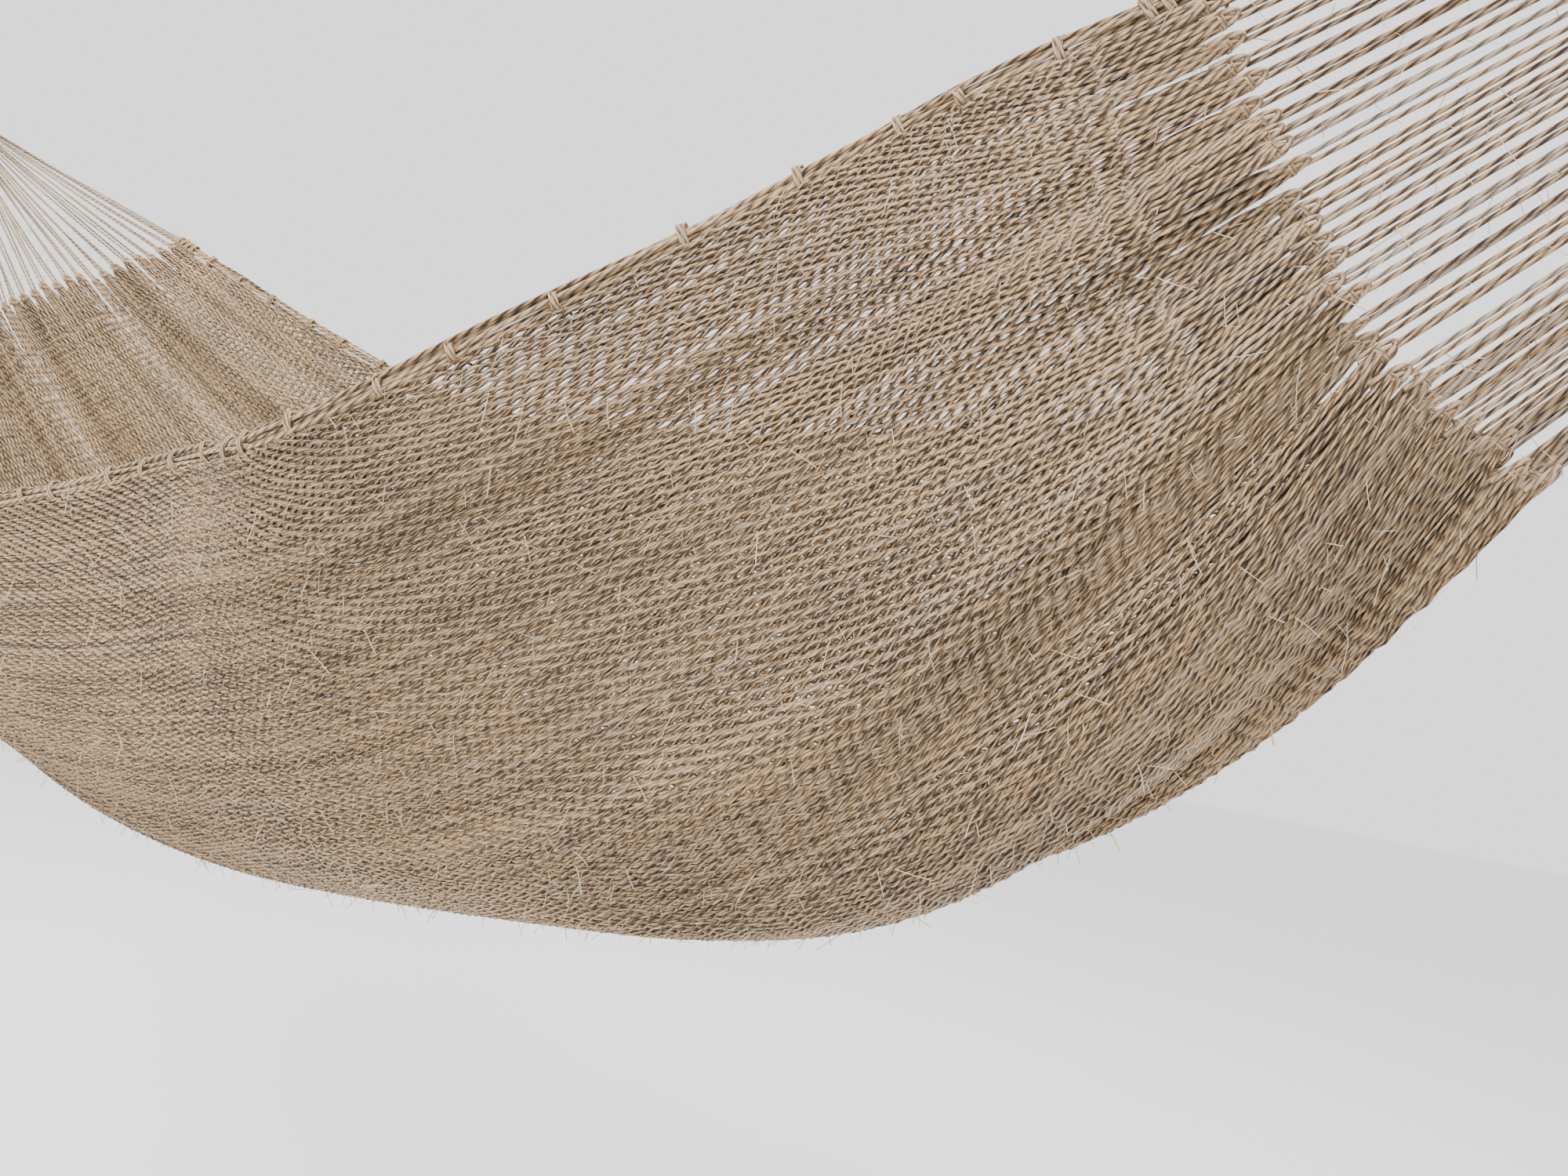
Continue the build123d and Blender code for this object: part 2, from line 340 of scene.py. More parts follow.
def net_tree():
    """Cords along the drape, each linked with its neighbours all the way and bunched at the ends."""
    t, given, end = geometry_tree("Interlinked Net", {
        "Cords": "Int", "First Cord": "Int", "Strip Cords": "Int", "Samples": "Int", "Links": "Float",
        "Side Swing": "Float", "Through Swing": "Float", "Cord Radius": "Float", "Sides": "Int",
        "Bunch": "Int", "Bunch Length": "Float", "Plain End": "Float", "End Step": "Float",
        "Shift": "Float", "Depth": "Float", "Seed": "Int", "Material": "Material"})
    line = t.out("GeometryNodeCurvePrimitiveLine", {"Start": (0, 0, 0), "End": (1, 0, 0)})
    line = t.out("GeometryNodeResampleCurve", {"Curve": line, "Count": given["Samples"]})
    copies = t.node("GeometryNodeDuplicateElements",
                    {"Geometry": line, "Amount": given["Strip Cords"]}, domain="SPLINE")
    cords, number = copies.outputs["Geometry"], copies.outputs["Duplicate Index"]
    index = t.math("ADD", number, given["First Cord"])
    share = t.out("ShaderNodeSeparateXYZ", {0: t.out("GeometryNodeInputPosition")}, name="X")
    bunch = t.math("FLOOR", t.math("DIVIDE", t.math("ADD", index, 0.01), given["Bunch"]))
    steps = []
    for rate, start in END_WAVES.values():
        wave = t.math("SINE", t.math("MULTIPLY_ADD", bunch, rate, start))
        half = t.math("MULTIPLY_ADD", wave, 0.5, 0.5)
        steps.append(t.math("MULTIPLY", half, given["End Step"]))
    left = t.math("SUBTRACT", t.math("SUBTRACT", 1.0, steps[0]), steps[1])
    s = t.math("MULTIPLY_ADD", share, left, steps[0])
    odd = t.math("MODULO", index, 2.0)
    jitter = t.out("FunctionNodeRandomValue",
                   {"Min": -LINK_JITTER, "Max": LINK_JITTER,
                    "ID": t.out("FunctionNodeFloatToInt", {0: index}), "Seed": given["Seed"]},
                   data_type="FLOAT")
    turns = t.math("MULTIPLY", t.math("MULTIPLY", given["Links"], math.tau), s)
    angle = t.math("ADD", t.math("MULTIPLY_ADD", odd, math.pi, turns), jitter)

    # Towards either end the links fade over the plain end, then the cords bunch.
    from_head = t.math("SUBTRACT", s, steps[0])
    from_foot = t.math("SUBTRACT", t.math("SUBTRACT", 1.0, steps[1]), s)
    from_end = t.math("MINIMUM", from_head, from_foot)
    linked = t.out("ShaderNodeMapRange", {"Value": from_end, "From Min": given["Bunch Length"],
                   "From Max": given["Plain End"]}, interpolation_type="SMOOTHSTEP")
    linked = t.math("MULTIPLY_ADD", linked, 1 - END_LINKING, END_LINKING)
    bunched = t.math("SUBTRACT", 1.0, t.out("ShaderNodeMapRange", {
        "Value": from_end, "From Max": given["Bunch Length"]}, interpolation_type="SMOOTHSTEP"))
    grouped = t.math("SUBTRACT", 1.0, t.out("ShaderNodeMapRange", {
        "Value": from_end, "From Max": t.math("MULTIPLY", given["Plain End"], 1.6)},
        interpolation_type="SMOOTHSTEP"))

    spot = t.combine(t.math("MULTIPLY", s, 9.0), t.math("MULTIPLY", index, 0.23), 0.0)
    drift = t.out("ShaderNodeTexNoise", {"Vector": spot, "Scale": 1.0, "Detail": 2.0}, name="Fac")
    drift = t.math("MULTIPLY", t.math("SUBTRACT", drift, 0.5), CORD_DRIFT)
    swing = t.math("MULTIPLY", t.math("MULTIPLY", t.math("COSINE", angle), given["Side Swing"]), linked)
    centre = t.math("ADD", t.math("ADD", index, 0.5), given["Shift"])
    free = t.math("ADD", t.math("ADD", centre, swing), drift)
    middle = t.math("MULTIPLY", t.math("ADD", bunch, 0.5), given["Bunch"])
    near = t.math("MULTIPLY_ADD", t.math("SUBTRACT", free, middle),
                  t.math("MULTIPLY_ADD", grouped, -BUNCH_DRAW, 1.0), middle)
    packed = t.math("MULTIPLY_ADD", t.math("SUBTRACT", centre, middle), BUNCH_TIGHT, middle)
    lateral = t.out("ShaderNodeMix", {"Factor": bunched, "A": near, "B": packed}, data_type="FLOAT")
    # Both shares stay just inside the chart, where it can be sampled.
    across = t.math("DIVIDE", lateral, given["Cords"])
    across = t.math("MINIMUM", t.math("MAXIMUM", across, 0.002), 0.998)
    along = t.math("MINIMUM", t.math("MAXIMUM", s, 0.001), 0.999)

    where = t.combine(across, along, 0.0)
    chart = t.out("GeometryNodeInputNamedAttribute", {"Name": "drape"}, data_type="FLOAT_VECTOR")
    sampled = []
    for field in ("GeometryNodeInputPosition", "GeometryNodeInputNormal"):
        sampled.append(t.out("GeometryNodeSampleUVSurface",
                             {"Mesh": given["Geometry"], "Value": t.out(field), "UV Map": chart,
                              "Sample UV": where}, data_type="FLOAT_VECTOR"))
    through = t.math("MULTIPLY", t.math("MULTIPLY", t.math("SINE", angle), given["Through Swing"]), linked)
    stack = t.math("MULTIPLY", t.math("MULTIPLY", t.math("SUBTRACT", odd, 0.5), BUNCH_STACK), grouped)
    lift = t.scaled(sampled[1], t.math("ADD", t.math("ADD", through, stack), given["Depth"]))
    cords = t.out("GeometryNodeSetPosition",
                  {"Geometry": cords, "Position": t.vector("ADD", sampled[0], lift)})
    run = t.out("GeometryNodeSplineParameter", name="Length")
    cords = t.out("GeometryNodeStoreNamedAttribute", {"Geometry": cords, "Name": "run", "Value": run},
                  data_type="FLOAT")
    tint = t.out("FunctionNodeRandomValue",
                 {"Min": 0.0, "Max": 1.0, "ID": t.out("FunctionNodeFloatToInt", {0: index}), "Seed": 7},
                 data_type="FLOAT")
    cords = t.out("GeometryNodeStoreNamedAttribute", {"Geometry": cords, "Name": "tint", "Value": tint},
                  data_type="FLOAT")
    skin = cord_skin(t, cords, given["Cord Radius"], given["Sides"], given["Material"])
    t.put(end.inputs[0], skin)
    return t.tree


def tube_tree():
    """Tubes along the lines of a mesh, for strings, bundles and windings."""
    t, given, end = geometry_tree(
        "Cord Tube", {"Cord Radius": "Float", "Sides": "Int", "Material": "Material"})
    lines = t.out("GeometryNodeMeshToCurve", {"Mesh": given["Geometry"]})
    t.put(end.inputs[0], cord_skin(t, lines, given["Cord Radius"], given["Sides"], given["Material"]))
    return t.tree


def repeat_tree():
    """One small piece set on each point, turned to the point's own directions."""
    t, given, end = geometry_tree(
        "Repeat on Points", {"Piece": "Object", "Material": "Material"})
    piece = t.out("GeometryNodeObjectInfo", {"Object": given["Piece"]}, name="Geometry")
    turn = None
    for label, axis in (("way", "X"), ("side", "Z")):
        aim = t.out("GeometryNodeInputNamedAttribute", {"Name": label}, data_type="FLOAT_VECTOR")
        fields = {"Vector": aim} if turn is None else {"Vector": aim, "Rotation": turn}
        turn = t.out("FunctionNodeAlignRotationToVector", fields, axis=axis,
                     pivot_axis="AUTO" if turn is None else "X")
    points = t.out("GeometryNodeMeshToPoints", {"Mesh": given["Geometry"]})
    made = t.out("GeometryNodeInstanceOnPoints",
                 {"Points": points, "Instance": piece, "Rotation": turn})
    made = t.out("GeometryNodeRealizeInstances", {"Geometry": made})
    t.put(end.inputs[0], t.out("GeometryNodeSetMaterial", {"Geometry": made, "Material": given["Material"]}))
    return t.tree


def fibre_tree():
    """Single fibres that stand off a surface in all directions."""
    t, given, end = geometry_tree(
        "Stray Fibres", {"Piece": "Object", "Density": "Float", "Seed": "Int", "Lift": "Float",
                         "Clear Of": "Vector", "Clearance": "Float", "Material": "Material"})
    away = t.vector("DISTANCE", t.out("GeometryNodeInputPosition"), given["Clear Of"], name="Value")
    spread = t.node("GeometryNodeDistributePointsOnFaces",
                    {"Mesh": given["Geometry"], "Selection": t.math("GREATER_THAN", away, given["Clearance"]),
                     "Density": given["Density"], "Seed": given["Seed"]})
    points, normal = spread.outputs["Points"], spread.outputs["Normal"]
    away = t.out("FunctionNodeRandomValue",
                 {"Min": -1.0, "Max": 1.0, "Seed": 3}, data_type="FLOAT")
    offset = t.scaled(normal, t.math("MULTIPLY", away, given["Lift"]))
    points = t.out("GeometryNodeSetPosition", {"Geometry": points, "Offset": offset})
    piece = t.out("GeometryNodeObjectInfo", {"Object": given["Piece"]}, name="Geometry")
    wild = t.out("FunctionNodeRandomValue",
                 {"Min": (-math.pi,) * 3, "Max": (math.pi,) * 3, "Seed": given["Seed"]},
                 data_type="FLOAT_VECTOR")
    size = t.out("FunctionNodeRandomValue", {"Min": 0.35, "Max": 1.25, "Seed": 11}, data_type="FLOAT")
    turn = t.out("FunctionNodeEulerToRotation", {0: wild})
    made = t.out("GeometryNodeInstanceOnPoints",
                 {"Points": points, "Instance": piece, "Rotation": turn,
                  "Scale": t.combine(size, size, size)})
    made = t.out("GeometryNodeRealizeInstances", {"Geometry": made})
    t.put(end.inputs[0], t.out("GeometryNodeSetMaterial", {"Geometry": made, "Material": given["Material"]}))
    return t.tree


def end_step(end_name, bunch):
    """Share of the net's length by which this bunch ends short, as the net's tree has it."""
    rate, start = END_WAVES[end_name]
    return sizes().end_step * (0.5 + 0.5 * math.sin(bunch * rate + start))


def grown(source, tree, inputs, name):
    """Plain mesh that this tree makes from the source object."""
    modifier = source.modifiers.new("Made", "NODES")
    modifier.node_group = tree
    for socket in tree.interface.items_tree:
        if socket.item_type == "SOCKET" and socket.in_out == "INPUT" and socket.name in inputs:
            modifier[socket.identifier] = inputs[socket.name]
    bpy.context.view_layer.update()
    seen = source.evaluated_get(bpy.context.evaluated_depsgraph_get())
    mesh = bpy.data.meshes.new_from_object(seen)
    source.modifiers.remove(modifier)
    if not mesh.polygons:
        raise RuntimeError(f"{name} came out with no faces")
    mesh.name = name
    made = bpy.data.objects.new(name, mesh)
    bpy.context.scene.collection.objects.link(made)
    return made


def scratch(name, vertices, edges=(), faces=()):
    mesh = bpy.data.meshes.new(name)
    mesh.from_pydata([tuple(v) for v in vertices], list(edges), list(faces))
    made = bpy.data.objects.new(name, mesh)
    bpy.context.scene.collection.objects.link(made)
    return made


def drop(*objects):
    for item in objects:
        bpy.data.objects.remove(item)


def attribute(mesh, name, kind, values):
    made = mesh.attributes.new(name, kind, "POINT")
    made.data.foreach_set("vector" if kind == "FLOAT_VECTOR" else "value",
                          np.asarray(values, np.float32).ravel())


def tubes(name, lines, radius, sides, material, seed=0):
    """One mesh of round cords along these lines of points."""
    shade = np.random.default_rng(seed)
    vertices, edges, runs, tints = [], [], [], []
    for points in lines:
        first = len(vertices)
        tint = shade.random()
        run = shade.random() * 0.05
        for i, point in enumerate(points):
            if i:
                run += (Vector(point) - Vector(points[i - 1])).length
                edges.append((first + i - 1, first + i))
            vertices.append(point)
            runs.append(run)
            tints.append(tint)
    source = scratch(name + "_lines", vertices, edges)
    attribute(source.data, "run", "FLOAT", runs)
    attribute(source.data, "tint", "FLOAT", tints)
    made = grown(source, TREES["tube"], {"Cord Radius": radius, "Sides": sides, "Material": material}, name)
    drop(source)
    return made


def repeated(name, piece, places, ways, sides, material):
    """The small piece set at each place: its X along the way, its Z to the side."""
    source = scratch(name + "_points", places)
    attribute(source.data, "way", "FLOAT_VECTOR", [tuple(v) for v in ways])
    attribute(source.data, "side", "FLOAT_VECTOR", [tuple(v) for v in sides])
    made = grown(source, TREES["repeat"], {"Piece": piece, "Material": material}, name)
    drop(source)
    return made


# What the operators make and share.
TREES = {}
MATERIALS = {}
MADE = {}


# ---- materials ---------------------------------------------------------------------
def twist_group():
    """Shared effect: strands laid round a cord, with painted light on their crests and painted shade in the
    grooves between them, fibre streaks along them, weathering, and painted shade that greys some cords.
    """
    tree = bpy.data.node_groups.new("Twisted Fibre", "ShaderNodeTree")
    for label, kind in (("Pale", "Color"), ("Deep", "Color"), ("Lay Length", "Float"),
                        ("Strands", "Float"), ("Streaks", "Float"), ("Weathering", "Float"),
                        ("Greyed", "Float")):
        tree.interface.new_socket(label, in_out="INPUT", socket_type="NodeSocket" + kind)
    for label, kind in (("Colour", "Color"), ("Roughness", "Float"), ("Height", "Float")):
        tree.interface.new_socket(label, in_out="OUTPUT", socket_type="NodeSocket" + kind)
    t = Tree(tree)
    given = t.node("NodeGroupInput").outputs
    end = t.node("NodeGroupOutput")
    run = t.out("ShaderNodeAttribute", name="Fac", attribute_name="run")
    tint = t.out("ShaderNodeAttribute", name="Fac", attribute_name="tint")
    around = t.node("ShaderNodeSeparateXYZ",
                    {0: t.out("ShaderNodeAttribute", name="Vector", attribute_name="around")}).outputs
    angle = t.math("ARCTAN2", around["Y"], around["X"])
    turns = t.math("MULTIPLY", t.math("DIVIDE", run, given["Lay Length"]), math.tau)
    phase = t.math("ADD", t.math("MULTIPLY", angle, given["Strands"]), turns)
    # Painted light and shade: each strand's crest is lit to the pale colour and the groove between strands is
    # darkened to the deep colour. The same crest also drives the bump.
    crest = t.math("ABSOLUTE", t.math("SINE", t.math("MULTIPLY", phase, 0.5)))
    strand = t.math("POWER", crest, 1.6)
    # Streaks turn with the strands and are long along them.
    lay = t.math("ADD", angle, t.math("DIVIDE", turns, given["Strands"]))
    spot = t.combine(t.math("MULTIPLY", t.math("COSINE", lay), 2.4),
                     t.math("MULTIPLY", t.math("SINE", lay), 2.4),
                     t.math("MULTIPLY_ADD", run, 70.0, t.math("MULTIPLY", tint, 91.0)))
    streak = t.out("ShaderNodeTexNoise", {"Vector": spot, "Scale": 2.2, "Detail": 5.0, "Roughness": 0.7},
                   name="Fac")
    streak = t.out("ShaderNodeMapRange", {"Value": streak, "From Min": 0.32, "From Max": 0.68})
    place = t.out("ShaderNodeTexCoord", name="Object")
    patch = t.out("ShaderNodeTexNoise", {"Vector": place, "Scale": 7.0, "Detail": 3.0}, name="Fac")
    slub = t.combine(t.math("MULTIPLY", run, 24.0), t.math("MULTIPLY", tint, 57.0), 0.0)
    slub = t.out("ShaderNodeTexNoise", {"Vector": slub, "Scale": 1.0, "Detail": 3.0}, name="Fac")
    light = t.math("MULTIPLY_ADD", t.math("SUBTRACT", streak, 0.5), given["Streaks"], strand)
    light = t.math("ADD", light, t.math("MULTIPLY", t.math("SUBTRACT", slub, 0.5), 0.9))
    light = t.math("ADD", light, t.math("MULTIPLY", t.math("SUBTRACT", patch, 0.5), given["Weathering"]))
    light = t.math("ADD", light, t.math("MULTIPLY", t.math("SUBTRACT", tint, 0.5), 0.5), clamp=True)
    colour = t.out("ShaderNodeMix", {"Factor": light, "A": given["Deep"], "B": given["Pale"]},
                   name="Result", data_type="RGBA")
    # Some cords, picked at random, are greyed and darkened along their whole length. This is painted shade: the
    # grey look of strings that lie in shade.
    shade_greyed = t.out("ShaderNodeMapRange", {"Value": tint, "From Min": 0.55, "From Max": 0.95})
    grey = t.out("ShaderNodeMix", {"Factor": t.math("MULTIPLY", shade_greyed, given["Greyed"]), "A": colour,
                                   "B": t.out("ShaderNodeHueSaturation", {"Saturation": 0.4, "Value": 0.7,
                                                                         "Color": colour})},
                 name="Result", data_type="RGBA")
    t.put(end.inputs["Colour"], grey)
    t.put(end.inputs["Roughness"], t.math("MULTIPLY_ADD", streak, -0.18, 0.92))
    height = t.math("MULTIPLY_ADD", streak, 0.35, strand)
    t.put(end.inputs["Height"], height)
    return tree


def cord_material(name, pale, deep, lay_length=0.011, strands=2.0, streaks=1.1, weathering=0.6,
                  greyed=0.3, depth=0.0012):
    """Twisted natural fibre with its own strength of twist, streaks and weathering."""
    made = bpy.data.materials.new(name)
    made.use_nodes = True
    made.node_tree.nodes.clear()
    t = Tree(made.node_tree)
    effect = t.node("ShaderNodeGroup", node_tree=MATERIALS["twist"])
    for label, value in (("Pale", pale), ("Deep", deep), ("Lay Length", lay_length), ("Strands", strands),
                         ("Streaks", streaks), ("Weathering", weathering), ("Greyed", greyed)):
        effect.inputs[label].default_value = value
    bump = t.out("ShaderNodeBump", {"Height": effect.outputs["Height"], "Distance": depth, "Strength": 0.9})
    surface = t.node("ShaderNodeBsdfPrincipled", {
        "Base Color": effect.outputs["Colour"], "Roughness": effect.outputs["Roughness"],
        "Normal": bump, "Specular IOR Level": 0.25, "Sheen Weight": 0.15, "Sheen Roughness": 0.6})
    t.node("ShaderNodeOutputMaterial", {"Surface": surface.outputs[0]})
    made.diffuse_color = pale
    return made


def fibre_material(name, colour):
    """Pale single fibres, some of them darker."""
    made = bpy.data.materials.new(name)
    made.use_nodes = True
    made.node_tree.nodes.clear()
    t = Tree(made.node_tree)
    place = t.out("ShaderNodeTexCoord", name="Object")
    shade = t.out("ShaderNodeTexNoise", {"Vector": place, "Scale": 160.0, "Detail": 2.0}, name="Fac")
    darker = tuple(c * 0.5 for c in colour[:3]) + (1,)
    tone = t.out("ShaderNodeMix", {"Factor": shade, "A": darker, "B": tuple(colour)},
                 name="Result", data_type="RGBA")
    surface = t.node("ShaderNodeBsdfPrincipled", {"Base Color": tone, "Roughness": 0.7,
                                                  "Specular IOR Level": 0.3})
    t.node("ShaderNodeOutputMaterial", {"Surface": surface.outputs[0]})
    made.diffuse_color = colour
    return made


def floor_material(name, colour):
    """Plain pale floor with a faint mottle."""
    made = bpy.data.materials.new(name)
    made.use_nodes = True
    made.node_tree.nodes.clear()
    t = Tree(made.node_tree)
    place = t.out("ShaderNodeTexCoord", name="Object")
    mottle = t.out("ShaderNodeTexNoise", {"Vector": place, "Scale": 1.5, "Detail": 2.0}, name="Fac")
    shade = tuple(c * 0.97 for c in colour[:3]) + (1,)
    tone = t.out("ShaderNodeMix", {"Factor": mottle, "A": shade, "B": tuple(colour)},
                 name="Result", data_type="RGBA")
    surface = t.node("ShaderNodeBsdfPrincipled", {"Base Color": tone, "Roughness": 0.85})
    t.node("ShaderNodeOutputMaterial", {"Surface": surface.outputs[0]})
    return made


class HAMMOCK_OT_materials(bpy.types.Operator):
    """Make the fibre materials and the node trees that the pieces share"""

    bl_idname = "hammock.materials"
    bl_label = "Materials and Trees"

    def execute(self, context):
        look = colours()
        pale, deep = tuple(look.light), tuple(look.deep)
        MATERIALS["twist"] = twist_group()
        MATERIALS["net"] = cord_material("net_cord", pale, deep)
        MATERIALS["edge"] = cord_material("edge_cord", pale, deep, lay_length=0.013, weathering=0.4)
        # The arm strings get the strongest painted shade greying, for the grey look of strings in shade.
        MATERIALS["arm"] = cord_material(
            "arm_string", tuple(c * 0.93 for c in pale[:3]) + (1,), deep, lay_length=0.014, streaks=0.9,
            greyed=0.8)
        MATERIALS["eye"] = cord_material("eye_cord", pale, deep, lay_length=0.010, weathering=0.8)
        MATERIALS["stray"] = fibre_material("stray_fibre", look.stray)
        MATERIALS["floor"] = floor_material("floor", tuple(look.floor))
        TREES.update(net=net_tree(), tube=tube_tree(), repeat=repeat_tree(), fibre=fibre_tree())
        return {"FINISHED"}


# ---- the net -------------------------------------------------------------------------
def drape_object():
    """The drape as a chart mesh: its map has the share across as U and the share along as V."""
    vertices = GRID.reshape(-1, 3)
    faces = []
    for i in range(ROWS - 1):
        for j in range(COLUMNS - 1):
            corner = i * COLUMNS + j
            faces.append((corner, corner + COLUMNS, corner + COLUMNS + 1, corner + 1))
    made = scratch("drape_chart", vertices, (), faces)
    chart = made.data.attributes.new("drape", "FLOAT2", "CORNER")
    loops = np.zeros(len(made.data.loops), np.int32)
    made.data.loops.foreach_get("vertex_index", loops)
    values = np.stack([GRID_T[loops % COLUMNS], GRID_S[loops // COLUMNS]], axis=1)
    chart.data.foreach_set("vector", values.astype(np.float32).ravel())
    return made


# Each face of the net: sides of a cord, its shift in cord spacings, its depth, and its seed.
OUTER_FACE = (4, 0.0, 0.0010, 5)
INNER_FACE = (3, 0.5, -0.0014, 8)


class HAMMOCK_OT_net(bpy.types.Operator):
    """Make the interlinked net, in strips of neighbouring cords"""

    bl_idname = "hammock.net"
    bl_label = "Net"

    def execute(self, context):
        size = sizes()
        chart = drape_object()
        for face, strips, samples, (sides, shift, depth, seed) in (
                ("outer", size.strips, size.samples, OUTER_FACE),
                ("inner", size.inner_strips, size.inner_samples, INNER_FACE)):
            per_strip = -(-size.cords // strips)
            for k in range(strips):
                first = k * per_strip
                count = min(per_strip, size.cords - first)
                piece = grown(chart, TREES["net"], {
                    "Cords": size.cords, "First Cord": first, "Strip Cords": count, "Samples": samples,
                    "Links": size.waves, "Side Swing": size.side_swing,
                    "Through Swing": size.through_swing, "Cord Radius": size.cord_radius,
                    "Sides": sides, "Bunch": size.bunch, "Bunch Length": size.gather,
                    "Plain End": size.plain_end, "End Step": size.end_step, "Shift": shift,
                    "Depth": depth, "Seed": seed, "Material": MATERIALS["net"]}, f"net_{face}_{k + 1}")
                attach(piece, "sling")
        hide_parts("net")
        drop(chart)
        return {"FINISHED"}


# ---- end loops and arm strings ---------------------------------------------------------
def bunch_ends(end_name):
    """For each bunch: its end on the net, the way it is pulled, and the net's normal there."""
    size = sizes()
    count = size.cords // size.bunch
    found = []
    for b in range(count):
        step = end_step(end_name, b)
        s = step if end_name == "head" else 1 - step
        t = (b + 0.5) / count
        point = drape_point(s, t)
        pull = (KNOTS[end_name] - point).normalized()
        beside = drape_point(s, min(t + 0.01, 1)) - drape_point(s, max(t - 0.01, 0))
        normal = pull.cross(beside).normalized()
        found.append((point, pull, normal))
    return found


# Size of an end loop, and how far its two legs run back into the bunch.
LOOP_LONG = 0.014
LOOP_WIDE = 0.0078
LOOP_TAIL = 0.008


def loop_piece(material):
    """End loop: one cord that turns back round the arm strings, with a wrap at its throat."""
    lines = []
    for turn, (lean, lift) in enumerate(((-0.25, -0.0018), (0.05, 0.0014), (0.35, -0.0004))):
        points = []
        reach = LOOP_LONG - 0.0022 * turn
        wide = LOOP_WIDE / 2 - 0.0009 * turn
        for i in range(15):
            a = math.pi * (i / 14 - 0.5) * 1.15
            bulge = max(math.cos(a), 0) ** 0.6
            x = -LOOP_TAIL + (reach + LOOP_TAIL) * bulge
            points.append((x, wide * math.sin(a) + lean * 0.003, lift + 0.0015 * math.sin(a)))
        lines.append(points)
    wrap = []
    for i in range(19):
        a = math.tau * i / 9 + 0.8
        wrap.append((0.0015 + 0.0030 * i / 18, 0.0040 * math.cos(a), 0.0036 * math.sin(a)))
    lines.append(wrap)
    return tubes("loop_piece", lines, LOOP_CORD_R, 5, material, seed=4)


class HAMMOCK_OT_loops(bpy.types.Operator):
    """Make the loops that end the bunches of net cords"""

    bl_idname = "hammock.loops"
    bl_label = "End Loops"

    def execute(self, context):
        piece = loop_piece(MATERIALS["net"])
        for end_name in EYES:
            found = bunch_ends(end_name)
            places = [point - pull * 0.004 for point, pull, _ in found]
            made = repeated(f"{end_name}_loops", piece, places, [f[1] for f in found],
                            [f[2] for f in found], MATERIALS["net"])
            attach(made, "sling")
            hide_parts(f"{end_name}_end_loops")
        drop(piece)
        return {"FINISHED"}


STRINGS_A_LOOP = 2
EXTRA_STRINGS = 4
STRING_STEPS = 30
# Most spacing of a loop's own strings, and that of the extra strings from a corner.
STRING_SPACING = 0.0064
CORNER_SPACING = 0.0032
# At the knot: where the strings enter it, how far the fan has closed, and their scatter.
KNOT_ENTRY = 0.019
FAN_LEFT = 0.055
KNOT_SCATTER = 0.0035


def arm_string(start, stop, side, rng):
    """Nearly straight string: a slight sag and lean, each of its own."""
    sag = rng.uniform(0.000, 0.006)
    lean = rng.uniform(-0.003, 0.003)
    wobble = rng.uniform(0, math.tau)
    points = []
    for i in range(STRING_STEPS + 1):
        u = i / STRING_STEPS
        bow = math.sin(math.pi * u)
        point = start.lerp(stop, u) + side * (lean * bow) + Vector((0, 0, -sag * bow))
        point += side * (0.0006 * bow * math.sin(9 * u + wobble))
        points.append(point)
    return points


class HAMMOCK_OT_arms(bpy.types.Operator):
    """Make the fans of arm strings from the end loops to the neck knots"""

    bl_idname = "hammock.arms"
    bl_label = "Arm Strings"

    def execute(self, context):
        for number, end_name in enumerate(EYES):
            rng = np.random.default_rng(21 + number)
            found = bunch_ends(end_name)
            knot = KNOTS[end_name]
            middle = sum((f[0] for f in found), Vector()) / len(found)
            out = (middle - knot).normalized()
            lines = []
            for b, (point, pull, normal) in enumerate(found):
                off = point - middle
                flat = off - out * off.dot(out)
                side = normal.cross(pull).normalized()
                corner = b in (0, len(found) - 1)
                if corner:
                    band = edge_route(0.0 if b == 0 else 1.0)[0 if end_name == "head" else -1][0]
                wide = (found[-1][0] - found[0][0]).length / len(found) / STRINGS_A_LOOP
                for k in range(STRINGS_A_LOOP + (EXTRA_STRINGS if corner else 0)):
                    spread = (k - (STRINGS_A_LOOP - 1) / 2) * min(wide, STRING_SPACING)
                    start = point + pull * 0.008 + side * spread + normal * rng.uniform(-0.0015, 0.0015)
                    if k >= STRINGS_A_LOOP:
                        place = k - STRINGS_A_LOOP - (EXTRA_STRINGS - 1) / 2
                        start = band - pull * 0.012 + side * (place * CORNER_SPACING)
                    near = knot + out * KNOT_ENTRY + flat * FAN_LEFT
                    near += Vector(rng.uniform(-KNOT_SCATTER, KNOT_SCATTER, 3).tolist())
                    lines.append(arm_string(start, near, side, rng))
            made = tubes(f"{end_name}_arm_strings", lines, sizes().string_radius, 6,
                         MATERIALS["arm"], seed=31 + number)
            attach(made, "sling")
            groups = [n for n in frame["nodes"] if n.startswith(f"{end_name}_arm_")]
            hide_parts(*sorted(groups))
            MADE[f"{end_name}_arms"] = made
        return {"FINISHED"}


# ---- edges -----------------------------------------------------------------------------
EDGE_STEPS = 150
# Half the width over which an edge bundle's cords lie.
EDGE_WIDE = 0.0068


def edge_route(t):
    """Centre line of an edge bundle, with its outward and normal directions."""
    inner = 0.03 if t == 0 else 0.97
    route = []
    for i in range(EDGE_STEPS + 1):
        s = i / EDGE_STEPS
        rim = drape_point(s, t)
        outward = (rim - drape_point(s, inner)).normalized()
        route.append((rim + outward * EDGE_R * 0.8, outward))
    frames = []
    for i, (point, outward) in enumerate(route):
        ahead = route[min(i + 1, EDGE_STEPS)][0] - route[max(i - 1, 0)][0]
        way = ahead.normalized()
        frames.append((point, way, outward, way.cross(outward).normalized()))
    return frames


